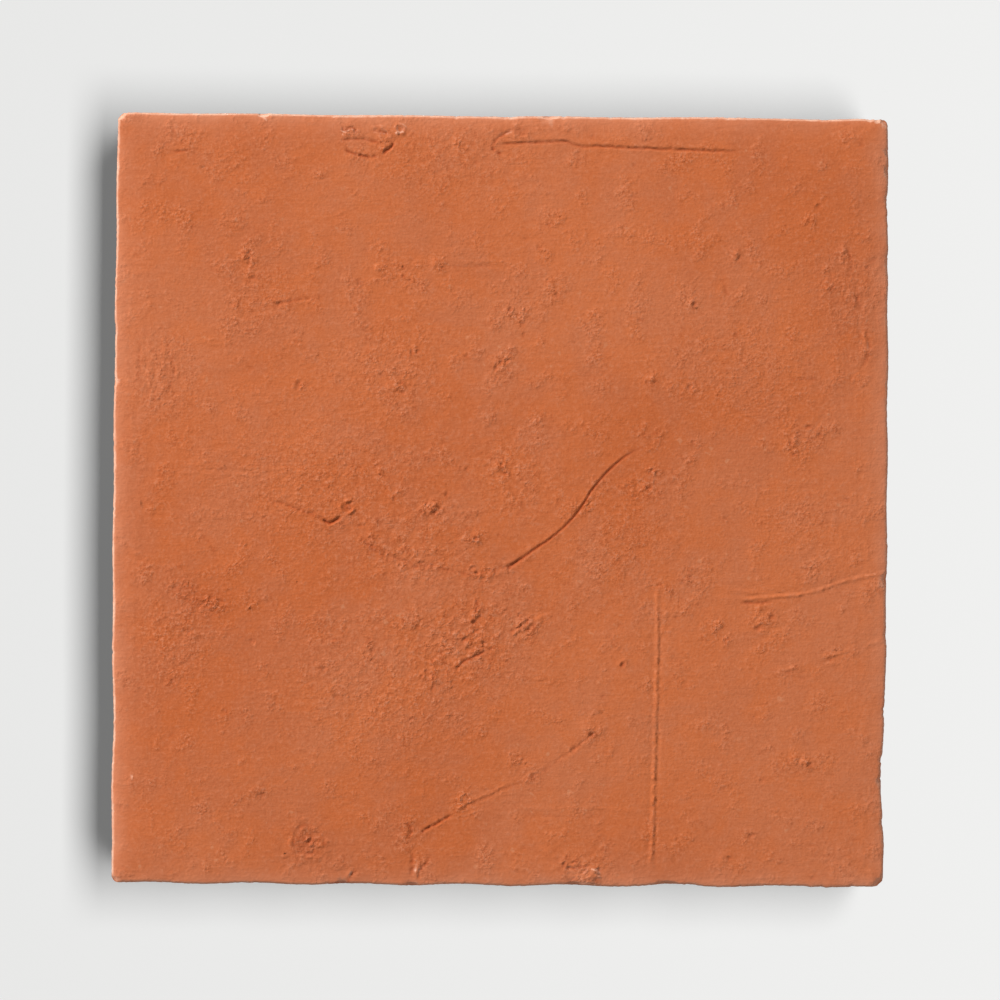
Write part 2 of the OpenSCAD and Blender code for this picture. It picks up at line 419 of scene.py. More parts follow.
def work_near_edge(face):
    """The fold that climbs from the near edge, its lumps, and the marks about it."""
    fold = [(-20.8, -86), (-17.4, -84.2), (-14, -82.3), (-10.6, -80.4)]
    face.mark(fold, -0.26, 0.5, ends=(0.1, 0.4), rough=0.35)
    face.rough(-9.5, -77.5, 6, 0.9)
    face.mark([(-12.5, -80.5), (-9, -78.4), (-9.6, -75.5)], 0.18, 0.6, ends=(0.3, 0.3))
    climb = [(-11, -80), (-3, -76.6), (1.5, -74.4), (8, -71.8)]
    face.mark(climb, -0.07, 0.5, ends=(0.1, 0.3), rough=0.6)
    face.mark([(-10, -79), (-3, -75.8), (2, -73.6)], 0.1, 0.6, rough=0.4)
    face.mark([(9, -71.6), (14, -68), (19.2, -64.3), (23.4, -60.6)], -0.09, 0.5, rough=0.7)
    face.dent(8.6, -71.6, 1.5, 0.17, 0.4, 1.5, 30)
    face.dent(19.1, -64.3, 1.4, 0.18, 0.4, 1.5, 40)
    face.dent(23.8, -60.6, 1.4, 0.29, 0.5, 1.3, 35)
    face.dent(22.6, -58.9, 2.3, -0.27, 0.1, 1.4, -20)
    face.dent(26.2, -60, 1.4, -0.18, 0.1)
    face.rough(24, -60, 7, 0.66)
    face.rough(8, -71, 6.5, 0.74)
    face.rough(-24, -86, 8, 0.69, 1.5, 80)

    # A round dent, and the marks that run off the near edge
    face.dent(-49.8, -88.4, 6.8, 0.14, 1, dark=0.25)
    face.dent(-49.2, -88.3, 1.6, 0.3, 0.6)
    face.rough(-49.8, -88.2, 8, 0.8)
    face.rough(-30.5, -84.4, 6, 0.5)
    face.strokes((
        ([(-52.4, -85.2), (-50.6, -84.1), (-48.4, -84.6)], -0.16),
        ([(-53.4, -87.2), (-53.2, -89.6)], -0.16),
        ([(-51, -90.9), (-49.2, -91.4), (-47.4, -90.6)], -0.16),
        ([(-46, -88.2), (-45, -89.4)], -0.14),
        ([(-24.8, -82.8), (-23, -85), (-23.8, -88)], -0.18),
        ([(-23.2, -90.4), (-22.6, -94), (-23.2, -98)], -0.17),
        ([(-17.6, -91.2), (-19.2, -94), (-20.8, -96), (-21.2, -99.4)], -0.18),
        ([(-20.6, -91.4), (-21.4, -95), (-22.2, -98.8)], 0.16),
        ([(-36.9, -95.2), (-38.4, -97), (-39.6, -98.8), (-42, -99.2), (-45, -99)], -0.22),
        ([(-38.6, -95.6), (-39.8, -97.4)], 0.16),
    ), 0.6, 0.4)

    # Clay pulled up in a lump beside the near edge, and the band that leads to it
    face.mark([(9.8, -89.4), (12.4, -91), (14.4, -93), (15.4, -94.8)], 0.2, 1.1, ends=(0.3, 0.2))
    face.mark([(16.2, -95.1), (19.6, -95.3), (21.2, -94.7), (23.4, -95)], -0.18, 0.5, rough=0.4)
    face.rough(21, -96.2, 10, 0.75, 1.3)
    face.mark([(4, -79), (12, -79.8), (22, -79.5), (36, -80.4)], 0.07, rough=0.4)
    face.mark([(5, -81.2), (16, -81.8), (28, -81.6)], -0.05, rough=0.4)


def work_far_edge(face):
    """The fold along the far edge with its hook, and the ring dent beside it."""
    fold = [
        (-2.6, 91.6), (5, 92.3), (12, 92.5), (17, 92.7),
        (20.6, 91.4), (26, 91.4), (41, 90.7), (62, 90),
    ]
    face.mark(fold, -0.25, 0.55, ends=(0.12, 0.06), rough=0.22, step=0.1, dark=0.65)
    face.mark([(-2.6, 91.6), (0, 94), (4.2, 96.4)], -0.16, ends=(0.3, 0.3), rough=0.4)
    face.mark([(-2.4, 91.2), (0.6, 89)], -0.26, ends=(0.2, 0.4))
    face.dent(5.4, 95, 3.2, 0.13, 0.9, 0.7, 60)

    # An open ring pressed into the clay, with a small closed one beside it
    face.dent(-34.4, 91.6, 8, 0.05, 0.2, 1.4, -6, dark=0)
    face.strokes((
        ([(-41, 97.4), (-40.4, 95.6), (-38.4, 96.4), (-37.2, 95.2), (-36.2, 94.2)], -0.18),
        ([(-33.2, 95.6), (-31.2, 95.4), (-29.6, 94.8), (-28, 94.3)], -0.22),
        ([(-33.8, 96.6), (-31.2, 96.5), (-29.2, 95.9)], 0.12),
        ([(-43, 92.9), (-39.6, 93.2), (-35.4, 93.2), (-31.4, 92.5), (-29, 92.2)], -0.16),
        ([(-28.6, 93.6), (-27.8, 91.6), (-29.4, 90.4), (-30.6, 88.8)], -0.28),
        ([(-40.6, 91.6), (-39.2, 90), (-37, 89.2), (-34, 88.7), (-30.6, 89)], -0.22),
    ), 0.6, 0.45)
    face.dent(-25.8, 95.7, 1.8, 0.16, 1.4)
    face.rough(-38.5, 95, 6, 0.7)
    face.rough(-29.5, 92, 6, 0.8, 1.4, 70)
    face.rough(-12, 92.6, 9, 0.62, 1.6)
    face.mark([(-86, 89.8), (-83, 90.1), (-80, 90.4)], -0.18, 0.5, ends=(0.5, 0.2))
    face.mark([(-86, 87.6), (-82, 87.9)], 0.07)
    face.rough(-71, 88.5, 11, 0.45, 1.6)
    face.rough(-66, 83.5, 7, 0.4, 1.3, -45)


def work_right_side(face):
    """Rough patches and curved scuffs down the right side, and the scuffed corner."""
    face.strokes((
        ([(90, 65), (90.6, 62.6), (90.8, 60.4), (90.2, 58.4), (88.8, 57.4)], -0.13),
        ([(88, 67.4), (88.9, 64.6), (88.6, 61.6), (87.6, 60)], 0.13),
        ([(83.6, 60.2), (84.6, 57.4), (84.8, 54.8), (83.9, 53.4)], 0.1),
        ([(93, 53.8), (92.2, 51.6), (93.8, 49.2)], -0.12),
        ([(85.6, 57.4), (86.2, 55.4), (85.4, 53.6)], -0.07),
        ([(94.8, 44.2), (95.3, 41), (95.5, 38.6), (94.7, 36.2), (93.2, 34)], -0.13),
        ([(93.9, 44), (94.3, 41), (94.1, 38)], 0.1),
        ([(74, 31.4), (79, 31.2), (83, 31.4)], -0.09),
        ([(57, 58.2), (58.4, 53.8), (60, 51.6)], -0.08),
    ), 0.65)
    spots = (
        (80.1, 71.9, 5, 0.7), (88.8, 63, 7, 0.6), (84.7, 59.3, 4.5, 0.7), (85, 55, 5, 0.66),
        (92.6, 51.8, 5, 0.7), (95, 39, 5, 0.7), (80, 48.5, 6, 0.4), (96, 58.6, 4, 0.5),
        (76.2, 13.6, 7, 0.85), (80.6, 15.6, 8, 0.6), (76.2, 18, 5, 0.8),
    )
    for spot in spots:
        face.rough(*spot)
    face.mark([(86, -90), (91, -92.6), (97.5, -97.5)], 0.1, 1.8, ends=(0.3, 0), rough=0.3)
    face.mark([(84.5, -92.6), (90, -95.6), (94, -98.4)], 0.1, 0.8, ends=(0.3, 0), rough=0.5)


ROUGH_SPOTS = (
    # middle, width, strength and, if not round, how drawn out it is and which way
    # Upper left
    (-87, 74, 6, 0.5), (-47, 83.7, 6, 0.5, 1.3, 40), (-31, 65, 6, 0.5, 1.5, -60),
    (-65, 62.8, 6, 0.83), (-64, 57.4, 5, 0.68), (-57, 51.2, 6, 0.7, 1.5, 0),
    (-67.4, 50.7, 7, 0.6, 1.5, 0), (-28, 59.5, 6, 0.68, 1.5, 0), (-22, 56, 6, 0.7, 1.5, -40),
    (-15.6, 61, 5, 0.68), (-36, 37, 9, 0.5), (-26.5, 31, 10, 0.65, 1.2, 30), (-21, 41.9, 7, 0.5),
    (-88.4, 33.7, 11, 0.5, 1.6, 90), (-51.2, 29, 6, 0.68, 0.8, 70), (-84.2, 15.8, 6, 0.5),
    (-37, 7, 8, 0.5, 1.3, 0), (-30.6, 8, 6, 0.7), (-26.6, 1, 5, 0.6, 1.4, 80),
    (-17.8, -2.3, 6, 0.88, 1.3, 0), (-75.5, 24, 5, 0.6),
    # Upper right
    (4, 48.5, 9, 0.7, 1.3, -20), (14, 55, 7, 0.6, 1.4, 40), (36, 50, 7, 0.5, 1.5, 80),
    (50, 50.8, 5, 0.7), (60.5, 62.8, 5, 0.6), (72, 59, 5, 0.6), (67.5, 51.5, 6, 0.5),
    (1, 34.8, 7, 0.83, 1.2, 80), (2.4, 38.4, 4.5, 0.68), (9.3, 21, 6, 0.6, 1.3, 0),
    (39, 30.8, 5, 0.7), (48.4, 28.8, 6, 0.7, 1.2, 0), (1, 8, 8, 0.68), (37, 3.2, 8, 0.68, 1.6, 0),
    (39.6, 7.2, 5, 0.78, 1.2, 45), (2.3, -1, 7, 0.6), (18, -2.4, 5, 0.7, 1.4, 60),
    (23, -1.4, 5, 0.7, 1.4, 60), (50.6, 14.2, 4, 0.6),
    # Lower left
    (-7, -9.6, 6, 0.78, 1.2, 20), (-22, -16.3, 8, 0.68, 1.6, -10),
    (-33.6, -10.6, 8, 0.6, 1.5, -35), (-82, -23.4, 8, 0.73, 1.2, -40),
    (-75, -26.6, 7, 0.88, 1.6, -10), (-64, -27, 5, 0.6), (-80, -34.4, 5, 0.6),
    (-45, -36, 7, 0.5, 1.8, 0), (-25.6, -32, 9, 0.6), (-33.6, -38.6, 7, 0.75),
    (-83, -43, 9, 0.6, 1.2, 0), (-84.5, -47, 5, 0.6), (-71, -55, 6, 0.5), (-81.4, -62.8, 7, 0.5),
    (-59, -51.6, 6, 0.5), (-92, -73.3, 6, 0.5), (-45, -43.2, 6, 0.6, 1.3, 0),
    (-42.4, -51, 5, 0.5), (-32.6, -52, 7, 0.5), (-22.8, -56.4, 5, 0.6, 1.3, 45),
    (-12.8, -56, 8, 0.5, 1.5, 0), (-59, -14.6, 5, 0.6, 1.3, 0), (-56, -19, 5, 0.5),
    (-5, -18.6, 7, 0.7, 1.6, 0),
    # Lower right
    (56, -33, 6, 0.68), (59, -36, 5, 0.6, 1, 80), (67.6, -31, 8, 0.75),
    (74.4, -44, 6, 0.5, 1.4, 20), (86, -39.5, 6, 0.5, 1.4, 20), (47.4, -28, 6, 0.6, 1, 60),
    (43.4, -22.6, 5, 0.68, 1.2, -30), (50, -20, 8, 0.55, 1.3, 0), (83, -68, 6, 0.6),
    (77.9, -67.8, 5, 0.7, 1.5, -30), (63.6, -87.6, 5, 0.6, 1.2, 0), (76, -88.6, 4.5, 0.5),
    (89, -96, 7, 0.5, 1.4, -30),
)

SMALL_DENTS = (
    # middle, width, depth and, if not round, how drawn out it is and which way
    # Upper left
    (-64.8, 64, 0.9, 0.18), (-64.8, 62.4, 0.9, 0.18), (-64.8, 60.9, 0.9, 0.16),
    (-65.9, 63, 1, -0.16), (-63.7, 62.2, 0.9, -0.16), (-63.9, 57.3, 0.9, 0.18, 2, 0),
    (-69.3, 57.2, 1.1, 0.14), (-57.2, 50.6, 0.9, 0.18, 2.2, 20), (-68.8, 50.6, 1, 0.14, 1.8, 0),
    (-40.6, 73.4, 1.5, 0.07, 1.4, 50), (-51.8, 29.8, 1.5, 0.16, 1.5, 70), (-25, 60.1, 0.9, 0.21),
    (-25, 57.8, 0.9, 0.21, 1.2, 0), (-23.2, 56.8, 0.9, 0.13, 1.6, -20),
    (-30, 60.4, 0.9, 0.14, 1.5, 45), (-31.6, 59.8, 1.2, -0.18, 1.2, 60),
    (-29.8, 57.8, 0.9, 0.13, 1.3, 0), (-16.7, 61.2, 1.2, -0.28), (-15, 59.9, 0.9, 0.19, 2, 0),
    (-22.8, 38.2, 0.9, 0.18, 1.8, 90), (-21.3, 38.2, 0.9, 0.18, 1.8, 90), (-33, 36.2, 1.1, 0.14),
    (-27.7, 29.4, 1.8, -0.23, 1.2, 0), (-25.4, 30.2, 0.9, 0.16, 1.3, 45),
    (-25, 27.7, 0.9, 0.16, 1.5, -40), (-30.6, 32.3, 0.9, 0.13, 1.6, -30),
    (-8.7, 37.1, 1.1, 0.14, 1.4, 0), (-8.6, 7.9, 1.1, 0.13), (-32, 9, 0.9, 0.13),
    (-30.9, 6.4, 0.9, 0.14), (-30.7, 7.4, 1, -0.17, 1.4, 0), (-27.4, 0.4, 0.8, 0.13, 2, 80),
    (-13.7, 1.4, 1, 0.16, 1.6, 80), (-17.7, -1.8, 1.6, -0.28, 1.3, 60),
    (-19, -1.1, 0.8, 0.16, 1.8, 35), (-16.8, -3.3, 1.1, 0.24), (-20.1, -3.1, 1, 0.18, 1.2, 90),
    (-15.5, -2.2, 0.8, 0.16, 1.4, 0), (-51, 7, 1.2, -0.14, 1.6, 0),
    # Upper right
    (2.5, 49, 1.2, 0.27), (5.6, 45.6, 1, 0.14, 1.3, 0), (14.7, 53, 1.1, 0.19, 1.2, 0),
    (13.2, 56, 1.3, -0.18), (12.3, 56.8, 0.8, 0.13, 1.2, 60), (10.2, 65.2, 0.9, 0.14, 1.8, -10),
    (0.3, 35.6, 1, 0.24, 1.2, 0), (2, 36.1, 0.9, 0.16, 1.8, 15), (-1, 34.2, 0.9, 0.19, 2, 90),
    (-0.9, 31.4, 0.8, 0.14, 1.3, 90), (2.4, 38.3, 0.9, 0.14, 1.4, -45),
    (2.4, 33.6, 0.8, 0.13, 1.6, -40), (0.5, 9.1, 1.1, 0.19), (1.4, 6.8, 1, 0.19, 1.5, 0),
    (-0.8, 8.8, 1, -0.17, 1.4, 80), (50.2, 50.7, 1.3, 0.22), (36.3, 46.4, 1.1, 0.14, 1.6, 0),
    (38, 30.4, 0.8, 0.16), (40, 30.4, 0.8, 0.16), (38.9, 31.4, 0.8, -0.17, 1.6, 0),
    (49, 29.2, 1.1, 0.16), (61, 63.4, 0.9, -0.21, 1.8, 60), (61.8, 62.4, 0.9, 0.13, 1.8, 60),
    (75, 42, 1.1, 0.14, 1.5, 0), (39.2, 7.6, 0.9, 0.14, 2.2, 45), (38.4, 3.1, 1, 0.24, 1.6, 0),
    (33.2, 3.6, 1, 0.14, 1.6, 0), (34.8, 0.8, 1, 0.13, 1.8, -10), (41, 1.6, 0.8, 0.13, 1.6, 80),
    (49.8, 14.9, 0.9, 0.14, 1.2, 90), (82.4, 75.8, 1.4, 0.13, 1.3, 45), (94.8, 60, 1.1, 0.19),
    (79.7, 18.9, 1.2, 0.16, 1.6, 0), (82.6, 16.9, 1.2, 0.19, 1.2, 0), (80, 15.6, 1, 0.16, 1.7, 0),
    (76, 11.7, 1, 0.19, 1.3, 0), (77, 17, 0.9, 0.18, 1.2, -40), (75.2, 14.6, 0.9, 0.16, 1.3, 60),
    (76.1, 15.8, 1, -0.16),
    # Lower left
    (-6.2, -10, 1.1, 0.27, 1.3, 0), (-6.2, -9.1, 1, -0.21, 1.2, 0),
    (-8.6, -7.3, 1, 0.13, 1.3, 60), (-19.6, -10.6, 1.5, 0.08, 1.5, 80),
    (-21.8, -17.2, 1.2, 0.18, 1.3, 0), (-19, -17.2, 1.1, 0.16, 1.5, 0),
    (-24.4, -15.9, 1.1, 0.14, 1.3, 0), (-6, -18.9, 1.1, 0.19), (-7.3, -17.5, 1, 0.16, 1.3, 30),
    (-1.3, -18.9, 0.9, 0.14, 2, 35), (-36.3, -6.6, 0.9, 0.13, 2, 0),
    (-33.4, -9.7, 1, 0.18, 1.2, -40), (-33, -11.8, 0.9, 0.16, 2.4, -25),
    (-9, -36, 1.2, 0.24, 1.3, 0), (-8.3, -36.9, 1.2, -0.21), (-4.3, -36.9, 1, 0.22, 1.2, 60),
    (-5.2, -36.4, 1, -0.17), (-6, -33.8, 0.9, 0.19, 2, 30), (-6.7, -31.6, 1.2, 0.24, 1.2, 60),
    (-7.2, -30.4, 1.1, -0.21), (-5.2, -30.1, 1, 0.16, 1.3, 45), (-8, -38.6, 0.8, 0.14, 2.2, -25),
    (-5.6, -38.2, 0.8, 0.13, 1.8, -25), (-17.5, -41.5, 1.1, 0.22, 1.3, 60),
    (-16.5, -41.4, 1.1, -0.21, 1.2, 60), (-15.4, -39.5, 1.1, 0.18, 1.3, 0),
    (-14.4, -42.1, 1, 0.16, 1.3, 0), (-19, -44.2, 1.1, 0.18), (-20.2, -45.5, 0.9, 0.22, 1.3, 0),
    (-17.4, -45, 1, 0.18, 1.5, 45), (-17.4, -48.6, 0.9, 0.16, 2, 60),
    (-20.8, -32.6, 1, 0.13, 1.6, 20), (-86.4, -22.3, 1, 0.14), (-83.8, -22.7, 1, 0.13, 1.4, -30),
    (-81.3, -21.4, 0.9, 0.16, 1.5, 70), (-79.2, -22.4, 0.8, 0.14, 2, 50),
    (-81.4, -25.5, 0.9, 0.18, 2.2, -20), (-76.2, -26.4, 0.9, 0.21, 2.4, 45),
    (-77.6, -27.4, 0.8, 0.16, 2, 45), (-74.6, -25.3, 0.9, 0.19, 1.6, -20),
    (-72.2, -26.1, 0.9, 0.19, 2.4, -12), (-74.4, -28.2, 0.9, 0.18, 1.6, 60),
    (-70.8, -27.8, 0.9, 0.13, 1.5, -60), (-81, -31, 1, 0.13, 1.8, 90),
    (-80.5, -34.2, 1, 0.16, 1.2, 0), (-79.1, -34.4, 1.1, -0.18),
    (-84.8, -46.8, 1.1, 0.16, 1.3, 45), (-71, -54.4, 1, 0.14, 1.5, 0), (-64.2, -36.4, 1.2, 0.16),
    (-42.4, -36.1, 0.8, 0.14, 3.5, -3), (-33.8, -36, 1.1, 0.13, 1.3, 60),
    (-32.8, -38.8, 1, 0.14, 1.3, 60), (-45.5, -43.5, 1.2, 0.14), (-42, -50.8, 1.7, 0.1, 1.2, 0),
    (-22.8, -56.6, 0.9, 0.16, 2.2, 45),
    # Lower right
    (5.4, -32.4, 1, 0.22, 1.4, 70), (7.4, -33.5, 0.9, 0.18, 1.8, 10),
    (8.7, -32.3, 0.9, 0.16, 2, 35), (4.9, -29.6, 0.8, 0.16, 1.6, 85),
    (6.8, -32.4, 0.9, -0.17, 2, 35), (9.6, -31.8, 0.9, -0.17, 2.2, 35),
    (4.2, -37.2, 0.9, 0.13, 1.2, 0), (28.6, -35.2, 1.5, 0.07), (31.6, -42.6, 1.3, 0.3, 1.3, 40),
    (49, -19.9, 1.2, 0.18), (47.4, -21.2, 0.9, 0.13, 1.8, 10), (41.4, -22, 1, 0.18, 1.2, 0),
    (43.6, -22.8, 0.9, 0.13, 1.8, -35), (45.6, -30.2, 1, 0.13), (70.2, -30.2, 1.4, 0.19, 1.2, 0),
    (66.6, -33.1, 1.2, 0.22, 1.3, 0), (67.2, -28, 0.9, -0.18, 1.3, 60),
    (56.4, -32.2, 1.2, -0.25, 1.2, 20), (58.2, -36.6, 0.9, 0.14, 1.8, 80),
    (80.1, -68.5, 1.2, 0.19, 1.3, 30), (78.4, -68, 1.1, -0.21, 1.2, 0),
    (74.4, -67.6, 1.1, 0.14, 1.2, 90), (76, -66.7, 1.1, -0.17, 1.2, 0), (67.6, -72.5, 1.4, 0.13),
    (65, -86.6, 1.2, 0.16, 1.5, 30), (59.2, -92.6, 1.2, 0.18, 1.2, 80),
    (57.8, -92, 1, -0.16, 1.6, 80), (16.5, -94.2, 1.1, 0.27, 1.6, 75),
    (17.3, -92.4, 0.8, 0.16, 1.6, 60), (19.2, -93.6, 0.9, 0.18, 2, 30),
    (23.3, -97.5, 2.6, -0.46, 1.2, 40), (25.6, -95.7, 1, 0.27, 1.6, -50),
    (24.9, -98.4, 1, 0.24, 1.6, 55), (18.6, -98.4, 1, 0.19, 2.2, 35),
    (22, -96, 0.9, 0.16, 1.6, 60),
)

FAINT_LINES = (
    # points along it, and height
    ([(-58.4, 50.2), (-55.6, 51), (-51, 51.9), (-46, 51.8)], -0.14),
    ([(-86, 43), (-85.6, 38), (-84.2, 34), (-85.2, 30), (-84.6, 27)], -0.1),
    ([(-17, 62.2), (-9, 61.5), (-1, 61.7), (9, 61.3)], 0.07),
    ([(-17, 60.6), (-8, 60.3), (0, 60.4)], -0.07),
    ([(-90, 8.8), (-78, 9.2), (-66, 8.2), (-44, 8.2)], 0.06),
    ([(-88, 6.8), (-76, 6.9), (-60, 6.2)], 0.06),
    ([(-97, -14), (-91, -13.4)], 0.08),
    ([(-90, 48), (-90.6, 36), (-90.2, 22)], 0.07),
    ([(-86.6, 46), (-87, 34), (-86.8, 25)], 0.07),
    ([(-93, 42), (-93.4, 30)], -0.07),
    ([(-78, -8), (-74, -13), (-73, -17)], -0.08),
)


def work_face():
    """All the relief of the trowelled face."""
    face = Face()
    work_ground(face)
    work_threads(face)
    work_middle(face)
    work_near_edge(face)
    work_far_edge(face)
    work_right_side(face)
    for spot in ROUGH_SPOTS:
        face.rough(*spot)
    for x, y, across, depth, *drawn_out in SMALL_DENTS:
        face.dent(x, y, across, depth, 0.5, *drawn_out)
    face.strokes(FAINT_LINES)
    face.pits(150, 1.1, 0.12, seed=31)
    face.pits(24, 1.6, 0.18, seed=32)
    return face


# ---- sides, back and arrises
NIBBLES = (
    # where on the outline, how long and how deep
    (99, 77.6, 1.2, 0.35), (99, 61, 1.6, 0.4), (100, -35, 1.4, 0.3), (100, -55, 1.1, 0.3),
    (100, -68, 1, 0.35), (100, -84, 1.2, 0.4), (78, -100, 1.6, 0.3), (83, -100, 1.2, 0.25),
    (50, -100, 1.5, 0.3), (2, 99, 1.6, 0.25), (97, 99, 2.4, 0.5), (-99, 44, 1.4, 0.25),
)


def broken_edge(rim):
    """How far the worn arris lies inside the outline, round the tile."""

    def round_noise(coarse, fine, seed):
        return noise((1, COLUMNS), PITCH, coarse, fine, 0.6, seed=seed)[0]

    lively = 0.4 + 0.6 * smoothstep(round_noise(40, 8, 52), -0.6, 1.6)
    bites = smoothstep(round_noise(7, 2.0, 53), 1.3, 2.8)
    inset = 0.09 + lively * (0.045 * round_noise(5, 0.9, 51) + 0.28 * bites)
    for x, y, length, depth in NIBBLES:
        away = np.hypot(rim[:, 0] - x, rim[:, 1] - y)
        away = away - away.min()
        inset += depth * np.exp(-((away / length) ** 2)) * (1 + 0.2 * round_noise(3, 1, 54))
    return np.clip(inset, 0, None)


def side_relief(walls, edge, edge_z):
    """How far in the clay of the sides lies: drag lines, pits, lumps, broken edge."""
    shape = walls.shape[:2]
    tall = THICKNESS / shape[0]
    drag = noise(shape, tall, 4, 1.6, 0.5, (9, 1), seed=61)
    lumps = noise(shape, tall, 22, 4, 1.0, seed=62)
    torn = noise(shape, tall, 5, 2.0, 0.3, seed=63)
    pits = smoothstep(noise(shape, tall, 4, 1.7, 0.2, seed=64), 2.0, 3.4)
    depth = 0.2 + 0.05 * drag + 0.06 * lumps + 0.05 * torn + 0.5 * pits
    upper = np.exp(-((np.maximum(edge_z - walls[..., 2], 0) / 1.6) ** 2))
    off_floor = smoothstep(walls[..., 2], -0.1, 0.6)
    return (np.clip(depth, 0, 1.2) * (1 - upper) + edge * upper) * off_floor


def back_relief(n):
    """Height of the sanded back above the floor that its high spots rest on."""
    shape = (n + 1, n + 1)
    cell = SIZE[0] / n
    field = 0.10 + 0.05 * noise(shape, cell, 30, 6, 1.0, seed=71)
    field += 0.05 * noise(shape, cell, 8, 2.6, 0.4, seed=72)
    field += 0.35 * smoothstep(noise(shape, cell, 9, 3, 0.3, seed=73), 1.8, 3.2)
    return np.clip(field, 0, 0.8)


def side_rings(slab, rim, out, arris, edge_z):
    """Rings of points from the face's edge down the sides to the back."""
    rings = []
    for k in range(ARRIS_TURNS - 1, -1, -1):
        a = math.radians(90 * k / ARRIS_TURNS)
        xy = rim - out * (arris * (1 - math.cos(a)))[:, None]
        rings.append(np.column_stack([xy, edge_z - arris * (1 - math.sin(a))]))
    for share in np.linspace(1, 0, SIDE_RINGS)[1:-1]:
        z = BACK_ARRIS + (edge_z - arris - BACK_ARRIS) * share
        rings.append(np.column_stack([rim, z]))
    for a in np.radians([90, 60, 30, 0]):
        xy = rim - out * BACK_ARRIS * (1 - math.sin(a))
        z = np.full(COLUMNS, BACK_ARRIS * (1 - math.cos(a)))
        rings.append(np.column_stack([xy, z]))
    walls = np.stack(rings)
    return slab.settle(walls.reshape(-1, 3)).reshape(walls.shape)


def build_skin(slab, face):
    """Points, quads and other faces of the whole tile, dense and closed."""
    rim = slab.outline()
    out = outward(rim, 4)
    edge = broken_edge(rim)
    arris = ARRIS * (1 + 0.15 * np.tanh(noise((1, COLUMNS), PITCH, 14, 2, seed=41)[0]))

    # Face: a grid over the slab, with the marks worked in
    grid = patch(rim - out * arris[:, None])
    flat = grid.reshape(-1, 2)
    base = slab.heights(flat).reshape(grid.shape[:2])
    edge_z = base[border(CELLS)]
    inset = from_border(CELLS) * PITCH
    inner = smoothstep(inset, 5, 12)
    base = base * (1 - inner) + blur(base, 3.0 / PITCH) * inner
    relief = face.at(face.height, flat).reshape(base.shape)
    z = base + relief * smoothstep(inset, -2, 2.5)
    grid = grid + spread(-out * edge[:, None], CELLS, PITCH, reach=2.0)
    points = [np.dstack([grid, z]).reshape(-1, 3)]
    quads = [grid_faces(CELLS, 0)]
    rows, columns = border(CELLS)
    rings_at = [rows * (CELLS + 1) + columns]

    # Arris and sides: rings that follow the outline down to the back
    walls = side_rings(slab, rim, out, arris, edge_z)
    walls[..., :2] -= out * side_relief(walls, edge, edge_z)[..., None]
    for ring in walls:
        rings_at.append(sum(len(p) for p in points) + np.arange(COLUMNS))
        points.append(ring)
        quads.append(band_faces(rings_at[-1], rings_at[-2]))

    # Back: a coarser grid, joined to the last ring
    n = CELLS // BACK_STEP
    last = walls[-1][::BACK_STEP, :2]
    back = patch(last - outward(last, 2) * HEM)
    start = sum(len(p) for p in points)
    points.append(np.dstack([back, back_relief(n)]).reshape(-1, 3))
    quads.append(grid_faces(n, start)[:, ::-1])
    rows, columns = border(n)
    hem = start + rows * (n + 1) + columns
    joins = []
    for k in range(4 * n):
        fine = [rings_at[-1][(k * BACK_STEP + j) % COLUMNS] for j in range(BACK_STEP, -1, -1)]
        joins.append([hem[k], hem[(k + 1) % (4 * n)]] + fine)
    return np.concatenate(points), quads, joins


# ---- the mesh
def make_mesh(name, points, quads, joins):
    corners = [q.ravel() for q in quads] + [np.array(j) for j in joins]
    corners = np.concatenate(corners).astype(np.int32)
    sizes = [np.full(len(q), 4) for q in quads] + [[len(j) for j in joins]]
    sizes = np.concatenate(sizes)
    starts = np.concatenate([[0], np.cumsum(sizes)[:-1]]).astype(np.int32)
    mesh = bpy.data.meshes.new(name)
    mesh.vertices.add(len(points))
    mesh.vertices.foreach_set("co", (points * MM).astype(np.float32).ravel())
    mesh.loops.add(len(corners))
    mesh.loops.foreach_set("vertex_index", corners)
    mesh.polygons.add(len(sizes))
    mesh.polygons.foreach_set("loop_start", starts)
    mesh.update(calc_edges=True)
    return mesh


def read(items, name, width, kind=np.float32):
    """One property of all a mesh's items, as an array with width columns."""
    values = np.empty(len(items) * width, kind)
    items.foreach_get(name, values)
    return values.reshape(-1, width)


def thin(ob, target):
    """Collapses edges where the surface is plain until the mesh is small enough."""
    triangles = int((read(ob.data.polygons, "loop_total", 1, np.int32) - 2).sum())
    modifier = ob.modifiers.new("thin", "DECIMATE")
    modifier.ratio = target / triangles
    modifier.use_collapse_triangulate = True
    dense = ob.data
    thinned = ob.evaluated_get(bpy.context.evaluated_depsgraph_get())
    mesh = bpy.data.meshes.new_from_object(thinned)
    ob.modifiers.clear()
    ob.data = mesh
    bpy.data.meshes.remove(dense)


def lift(mesh):
    """Lifts to the floor any point that thinning has pushed below it."""
    co = read(mesh.vertices, "co", 3)
    co[:, 2] = np.maximum(co[:, 2], 0)
    mesh.vertices.foreach_set("co", co.ravel())
    mesh.update()


